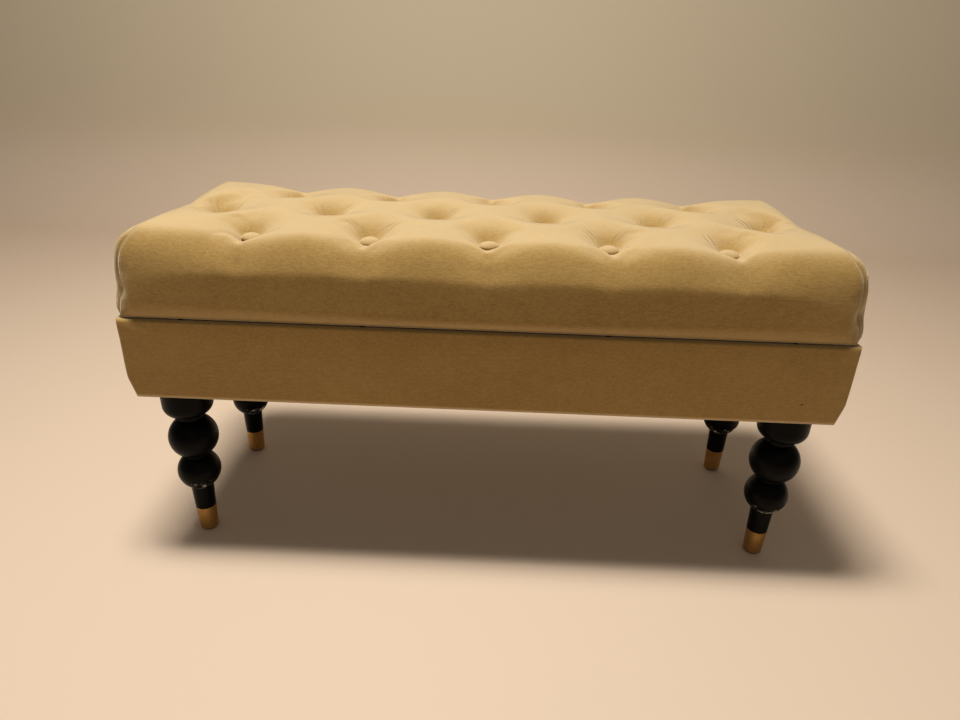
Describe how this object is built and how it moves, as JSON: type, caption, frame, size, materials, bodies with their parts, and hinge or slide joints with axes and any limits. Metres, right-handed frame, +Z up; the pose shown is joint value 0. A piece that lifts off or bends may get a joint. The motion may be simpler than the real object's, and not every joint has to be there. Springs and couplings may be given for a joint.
{
  "type": "piano bench",
  "caption": "Upholstered piano bench with a storage box under a hinged, button-tufted lid, on turned legs with metal ferrules.",
  "frame": {"origin": "on the floor, under the middle of the box", "axes": "+X along the bench to the right end of a person facing its front, +Y to the back where the lid is hinged, +Z up"},
  "size_m": [0.831, 0.3303, 0.438],
  "materials": {
    "velvet": "beige-gold cotton velvet with a short nap",
    "leg_paint": "turned wood, satin black lacquer",
    "antique_brass": "antique gold, satin",
    "glide_plastic": "moulded black plastic",
    "plywood": "birch plywood, unfinished",
    "lining_cloth": "black non-woven cloth",
    "dust_cloth": "black non-woven dust cloth",
    "foam": "open-cell seat foam",
    "twine": "waxed upholstery twine",
    "bumper_rubber": "soft rubber",
    "fastener_steel": "zinc-plated steel",
    "hinge_steel": "brass-plated steel"
  },
  "bodies": {
    "box": {"back_panel": "plywood", "bottom_panel": "plywood", "box_cover": "velvet", "dust_cover": "dust_cloth", "dust_cover_staples": "fastener_steel", "floor_lining": "lining_cloth", "front_panel": "plywood", "hanger_bolts": "fastener_steel", "hinge_box_screws": "fastener_steel", "hinge_pins": "hinge_steel", "left_end_panel": "plywood", "left_front_ferrule": "antique_brass", "left_front_glide": "glide_plastic", "left_front_leg": "leg_paint", "left_hinge_box_leaf": "hinge_steel", "left_rear_ferrule": "antique_brass", "left_rear_glide": "glide_plastic", "left_rear_leg": "leg_paint", "left_stay_box_bracket": "hinge_steel", "panel_screws": "fastener_steel", "right_end_panel": "plywood", "right_front_ferrule": "antique_brass", "right_front_glide": "glide_plastic", "right_front_leg": "leg_paint", "right_hinge_box_leaf": "hinge_steel", "right_rear_ferrule": "antique_brass", "right_rear_glide": "glide_plastic", "right_rear_leg": "leg_paint", "right_stay_box_bracket": "hinge_steel", "stay_box_rivets": "hinge_steel", "stay_box_screws": "fastener_steel", "tee_nuts": "fastener_steel", "wall_lining": "lining_cloth"},
    "lid": {"lid_panel": "plywood", "seat_foam": "foam", "seat_cover": "velvet", "lid_lining": "lining_cloth", "tufting_buttons": "velvet", "tie_washers": "fastener_steel", "button_ties": "twine", "lid_bumpers": "bumper_rubber", "lid_staples": "fastener_steel", "hinge_lid_screws": "fastener_steel", "stay_lid_screws": "fastener_steel", "left_hinge_lid_leaf": "hinge_steel", "right_hinge_lid_leaf": "hinge_steel", "left_stay_lid_bracket": "hinge_steel", "right_stay_lid_bracket": "hinge_steel", "stay_lid_rivets": "hinge_steel"},
    "left_stay_lower": {"left_stay_lower_arm": "hinge_steel", "left_stay_elbow_rivet": "hinge_steel"},
    "right_stay_lower": {"right_stay_lower_arm": "hinge_steel", "right_stay_elbow_rivet": "hinge_steel"},
    "left_stay_upper": {"left_stay_upper_arm": "hinge_steel"},
    "right_stay_upper": {"right_stay_upper_arm": "hinge_steel"}
  },
  "joints": [
    {"name": "lid_hinge", "type": "hinge", "parent": "box", "child": "lid", "pos_m": [0, 0.1653, 0.3395], "axis": [-1, 0, 0], "range_deg": [0, 85]},
    {"name": "left_stay_box_pivot", "type": "hinge", "parent": "box", "child": "left_stay_lower", "pos_m": [-0.3985, 0.1253, 0.2945], "axis": [-1, 0, 0], "range_deg": [0, 85]},
    {"name": "left_stay_elbow", "type": "hinge", "parent": "left_stay_lower", "child": "left_stay_upper", "pos_m": [-0.3985, 0.0153, 0.2805], "axis": [-1, 0, 0], "range_deg": [-85, 0]},
    {"name": "right_stay_box_pivot", "type": "hinge", "parent": "box", "child": "right_stay_lower", "pos_m": [0.3985, 0.1253, 0.2945], "axis": [-1, 0, 0], "range_deg": [0, 85]},
    {"name": "right_stay_elbow", "type": "hinge", "parent": "right_stay_lower", "child": "right_stay_upper", "pos_m": [0.3985, 0.0153, 0.2805], "axis": [-1, 0, 0], "range_deg": [-85, 0]}
  ],
  "couplings": [
    {"joint": "left_stay_box_pivot", "follows": "lid_hinge", "ratio": 1},
    {"joint": "left_stay_elbow", "follows": "lid_hinge", "ratio": -1},
    {"joint": "right_stay_box_pivot", "follows": "lid_hinge", "ratio": 1},
    {"joint": "right_stay_elbow", "follows": "lid_hinge", "ratio": -1}
  ]
}
